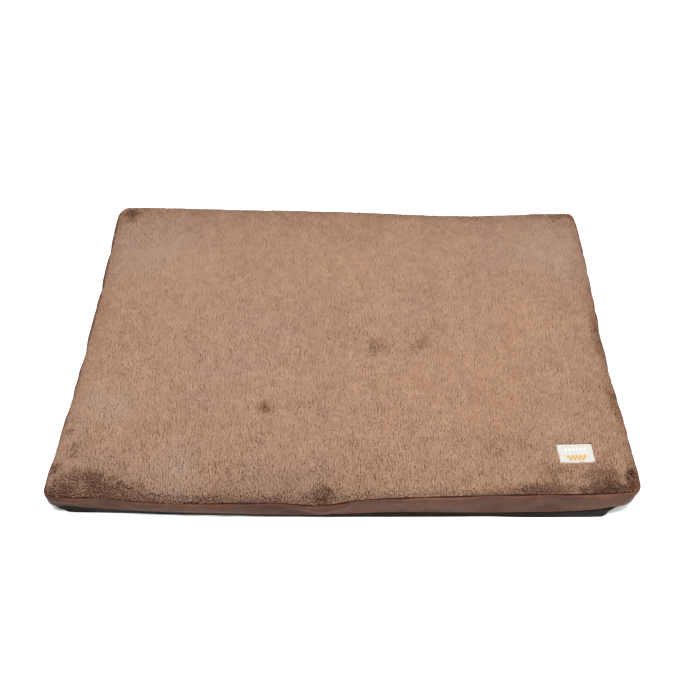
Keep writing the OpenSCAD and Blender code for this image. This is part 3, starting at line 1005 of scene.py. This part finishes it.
TUCK = 0.04                 # how far the filling is drawn in, low down at the front right corner
LINER_THICK = 0.0003
LINER_INSET = 0.003


def inside(x, y, inset):
    """The wall's rectangle drawn in by an inset, and behind by the room that the slider needs."""
    middle, half = (LINER_HIGH.y + LINER_LOW.y) / 2, (LINER_HIGH.y - LINER_LOW.y) / 2
    px, py = round_corners(x, y, 0.035)
    return px / WALL_X * (WALL_X - inset), middle + py / WALL_Y * (half - inset)


def tuck_in(points):
    """Draws the low points of the front right corner in, because the base runs in under it there."""
    x, y, z = np.moveaxis(points, -1, 0)
    share = smooth((x - 0.36) / 0.13) * smooth((-y - 0.18) / 0.12) * smooth((0.034 - z) / 0.018)
    return points_at(x - TUCK * share, y, z)


def filling_levels(inset, high, low, steps=5):
    """Top grid, side rings and bottom grid of a slab between two heights, each a function of x and y."""
    x, y = panel_grid()
    px, py = inside(x, y, inset + 0.004)
    top = points_at(px, py, high(x, y))
    bottom = points_at(px, py, low(x, y))
    rx, ry = perimeter().T
    high_z, low_z = high(rx, ry), low(rx, ry)
    rings = []
    for t in np.linspace(0, 1, steps):
        qx, qy = inside(rx, ry, inset + 0.004 * (1 - math.sin(math.pi * t)))
        rings.append(tuck_in(points_at(qx, qy, high_z + (low_z - high_z) * t)))
    return tuck_in(top), rings, tuck_in(bottom)


def under_skin(depth):
    """Heights that lie a depth under the plush panel's backing."""
    return lambda x, y: skin_height(x, y) - depth


def make_filling(foam, wadding, liner):
    def foam_top(x, y):
        return np.minimum(FOAM_HIGH_Z, skin_height(x, y) - 0.014) + 0.0002 * noise(x, y, 0.02, 61)

    def flat(z):
        return lambda x, y: np.full_like(x, z) + 0.0002 * noise(x, y, 0.02, 62)

    def base_low(x, y):
        near = np.clip(edge_distance(x, y) / 0.04, 0, 1)
        return 0.003 + 0.008 * (1 - near) ** 2

    slabs = [
        # name, node, slot, material, inset, and the heights of its top and bottom
        ("foam_core_slab", "foam_core", "foam", foam, 0.01,
         foam_top,
         lambda x, y: base_low(x, y) + 0.0046),
        ("wadding_top_layer", "wadding_top", "wadding", wadding, 0.008,
         lambda x, y: skin_height(x, y) - 0.0062 + 0.0007 * noise(x, y, 0.016, 63),
         lambda x, y: foam_top(x, y) + 0.0004),
        ("wadding_base_layer", "wadding_base", "wadding", wadding, 0.008,
         lambda x, y: base_low(x, y) + 0.0042,
         lambda x, y: base_low(x, y) + 0.0008 + 0.0004 * noise(x, y, 0.016, 64)),
    ]
    for name, node_name, slot, material, inset, high, low in slabs:
        top, rings, bottom = filling_levels(inset, high, low)
        obj = shell(name, rings, top, bottom)
        dress(obj, material, replaces=[node_name])
    seam = flat(LINER_LOW.z)
    top, rings, _ = filling_levels(LINER_INSET, under_skin(0.0046), seam)
    half = shell("liner_top_cloth", rings[:3], top)
    _, rings, bottom = filling_levels(LINER_INSET, seam, base_low)
    other = shell("liner_base_cloth", rings[2:], None, bottom)
    for obj, node_name in ((half, "liner_top"), (other, "liner_base")):
        thicken(obj, LINER_THICK)
        dress(obj, liner, replaces=[node_name])


# ---- zip ----

TAPE_LOW, TAPE_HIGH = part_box("zip_tape_upper")
COIL_LOW, COIL_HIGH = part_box("zip_coil_upper")
ZIP_MIDDLE_Z = (ZIP_UPPER_Z + ZIP_LOWER_Z) / 2


def make_zip(tape_cloth, coil_plastic, metal):
    thick, wide = TAPE_HIGH.y - TAPE_LOW.y, TAPE_HIGH.z - TAPE_LOW.z
    slit = TAPE_LOW.z - ZIP_MIDDLE_Z
    x = np.arange(TAPE_LOW.x, TAPE_HIGH.x + 1e-6, 0.004)
    # across the tape from the slit: a corded edge, then shallow woven ribs
    across = np.linspace(0, 1, 29)
    rib = 0.00012 * (np.cos(across * wide / 0.0014 * TURN) - 1) * (across < 0.62)
    rib += np.where(across < 0.07, 0.0, -0.0001)
    outline = [(a * wide, TAPE_HIGH.y + r) for a, r in zip(across, rib)]
    outline += [(a * wide, TAPE_HIGH.y - thick) for a in across[::-1]]
    for side, name, strip in (
        (1, "zip_tape_upper", "boxing_back_upper_cloth"), (-1, "zip_tape_lower", "boxing_back_lower_cloth"),
    ):
        layers = [[(px, py, ZIP_MIDDLE_Z + side * (slit + w)) for w, py in outline] for px in x]
        count = len(outline)
        faces = grid_faces(len(x), count, closed=True)
        faces += [tuple(range(count))[::-1], tuple((len(x) - 1) * count + i for i in range(count))]
        if side < 0:
            faces = flipped(faces)
        tape = make_object(name + "_weave", np.concatenate(layers), faces)
        dress(tape, tape_cloth, replaces=[name])
    radius, pitch = 0.00034, 0.0015
    deep = (COIL_HIGH.y - COIL_LOW.y) / 2 - radius
    tall = (COIL_HIGH.z - COIL_LOW.z) / 2 - radius
    turns = (COIL_HIGH.x - COIL_LOW.x - 2 * radius) / pitch
    t = np.arange(0, turns, 1 / 12)
    for side, name in ((1, "zip_coil_upper"), (-1, "zip_coil_lower")):
        middle = ZIP_MIDDLE_Z + side * ((COIL_LOW.z + COIL_HIGH.z) / 2 - ZIP_MIDDLE_Z)
        line = points_at(
            COIL_LOW.x + radius + t * pitch,
            (COIL_LOW.y + COIL_HIGH.y) / 2 + deep * np.sin(TURN * t),
            middle + tall * np.cos(TURN * t),
        )
        dress(tubes(name + "_loops", [line], radius, 5), coil_plastic, replaces=[name])
    for name in ("zip_closed_stops", "zip_open_stop", "zip_slider", "zip_pull_pin", "zip_pull_tab"):
        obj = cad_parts[name]
        obj.data.materials.clear()
        obj.data.materials.append(metal)


# ---- label ----

LABEL_LOW, LABEL_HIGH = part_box("woven_label")
LABEL = {
    "turn": math.radians(2.0),
    "x": (LABEL_LOW.x + LABEL_HIGH.x) / 2 - 0.0025,
    "y": (LABEL_LOW.y + LABEL_HIGH.y) / 2,
    "half": (0.031, 0.019),
}
LABEL_THICK = 0.0008
LABEL_RISE = 0.005          # over the backing; LABEL gets its z from this once the cloth has settled


def to_label(x, y):
    """Places on the panel in the label's own axes."""
    c, s = math.cos(LABEL["turn"]), math.sin(LABEL["turn"])
    dx, dy = x - LABEL["x"], y - LABEL["y"]
    return c * dx + s * dy, c * dy - s * dx


def label_press(x, y):
    """How far the label presses the pile down, from 0 to 1."""
    u, v = to_label(x, y)
    past = np.maximum(np.abs(u) - LABEL["half"][0], np.abs(v) - LABEL["half"][1])
    return smooth(0.5 - past / 0.002)


def label_point(u, v, lift=0.0):
    """A place on the label, u and v in metres from its middle."""
    c, s = math.cos(LABEL["turn"]), math.sin(LABEL["turn"])
    edge = np.maximum(np.abs(u) / LABEL["half"][0], np.abs(v) / LABEL["half"][1])
    sag = 0.0005 * noise(np.asarray(u), np.asarray(v), 0.018, 71) - 0.0006 * edge**4
    return points_at(LABEL["x"] + c * u - s * v, LABEL["y"] + s * u + c * v, LABEL["z"] + sag + lift + 0 * u)


def make_label(cloth, white, orange):
    half_u, half_v = LABEL["half"]
    u, v = np.meshgrid(np.linspace(-half_u, half_u, 63), np.linspace(-half_v, half_v, 39))
    label = make_object("woven_label_cloth", label_point(u, v), grid_faces(*u.shape))
    thicken(label, LABEL_THICK)
    dress(label, cloth, replaces=["woven_label"])
    inset, stitch, step = 0.002, 0.0028, 0.004
    edge = [[(k, side * (half_v - inset)), (k + stitch, side * (half_v - inset))]
            for k in np.arange(inset - half_u, half_u - stitch, step) for side in (-1, 1)]
    edge += [[(side * (half_u - inset), k), (side * (half_u - inset), k + stitch)]
             for k in np.arange(inset - half_v, half_v - stitch, step) for side in (-1, 1)]
    embroider("label_edge_stitches", edge, 0.00025, white)
    line = [[(k, 0.0005), (k + 0.0019, 0.0005)] for k in np.arange(-0.024, 0.024, 0.0021)]
    lozenges = [[(m - w, 0.0075 + 0.0008 * j), (m + w, 0.0075 + 0.0008 * j)]
                for m in np.arange(-0.0165, 0.017, 0.0066)
                for j in range(-4, 5) for w in [0.0029 * (1 - abs(j) / 5.2)]]
    embroider("label_white_lozenges", line + lozenges, 0.00042, white)
    wave = [[(-0.016 + 0.032 * t / 56, -0.0085 + 0.0046 * math.sin(t * 0.5)) for t in range(k, k + 3)]
            for k in range(0, 56, 2)]
    embroider("label_orange_wave", wave, 0.00095, orange)


def embroider(name, runs, radius, material):
    """Raised embroidery on the label: each run is a short thread, sewn down at its ends."""
    lines = []
    for run in runs:
        u, v = np.array(run, float).T
        t = np.linspace(0, 1, 2 * len(u) - 1)
        places = np.linspace(0, 1, len(u))
        u, v = np.interp(t, places, u), np.interp(t, places, v)
        lines.append(label_point(u, v, radius * (0.1 + 0.7 * np.sin(t * math.pi))))
    dress(tubes(name, lines, radius), material)


# ---- run ----

make_camera()
make_stage()

plush = plush_material()
suede = suede_material("boxing_suede", (0.044, 0.019, 0.012), (0.094, 0.043, 0.0275))
# the grip cloth is a dark cloth, and its dark side showing under the front lip also stands in for the shadow
# under that lip: painted shade
grip = weave_material("grip_cloth", (0.017, 0.014, 0.012), (0.006, 0.005, 0.004), 0.0012, 0.85, 0.0, 0.08)
rubber = speckle_material("grip_rubber", (0.03, 0.026, 0.025), (0.055, 0.05, 0.048), 700.0, 0.55)
label_cloth = weave_material("label_cloth", (0.31, 0.302, 0.27), (0.255, 0.247, 0.215), 0.0007)
white_thread = speckle_material("white_thread", (0.38, 0.38, 0.38), (0.46, 0.46, 0.46), 1500.0, 0.6)
orange_thread = speckle_material("orange_thread", (0.33, 0.165, 0.001), (0.4, 0.205, 0.003), 1500.0, 0.7)
seam_thread = speckle_material("seam_thread", (0.08, 0.04, 0.028), (0.15, 0.08, 0.058), 1500.0, 0.65)
# painted shade: a near-black material for the line in the top seam's groove
painted_seam_shade = speckle_material(
    "seam_line_painted_shade", (0.012, 0.004, 0.002), (0.028, 0.011, 0.006), 900.0, 0.85, specular=0.05)
foam = speckle_material("foam", (0.62, 0.56, 0.36), (0.88, 0.82, 0.62), 500.0, 0.9, bump=0.8)
wadding = speckle_material(
    "wadding", (0.78, 0.78, 0.77), (0.93, 0.93, 0.92), 180.0, 0.95, bump=0.9, sheen=0.3)
liner = weave_material("liner_cloth", (0.76, 0.74, 0.69), (0.5, 0.48, 0.44), 0.001)
tape_cloth = weave_material("zip_tape", (0.12, 0.062, 0.042), (0.05, 0.025, 0.018), 0.0008)
coil_plastic = speckle_material("zip_coil", (0.055, 0.028, 0.02), (0.095, 0.05, 0.036), 900.0, 0.35)
metal = speckle_material("zip_metal", (0.3, 0.2, 0.09), (0.52, 0.38, 0.2), 600.0, 0.38, metallic=1.0)

skin = make_skin()
boxing = make_boxing_sheet()
run_cloth([skin, boxing], 22, 0.003)
under_label = read_grid(skin_grid(skin), np.array([LABEL["x"]]), np.array([LABEL["y"]]))
LABEL["z"] = under_label[0, 2] + LABEL_RISE
make_pile(skin, plush)
thicken(skin, BACKING_THICK, levels=1)
dress(skin, backing_material(), replaces=["plush_top_panel"])
finish_boxing(boxing, suede)
make_seam_shade_line(painted_seam_shade)
make_back_strips(suede, seam_thread)
make_base(grip, rubber)
make_filling(foam, wadding, liner)
make_zip(tape_cloth, coil_plastic, metal)
make_label(label_cloth, white_thread, orange_thread)
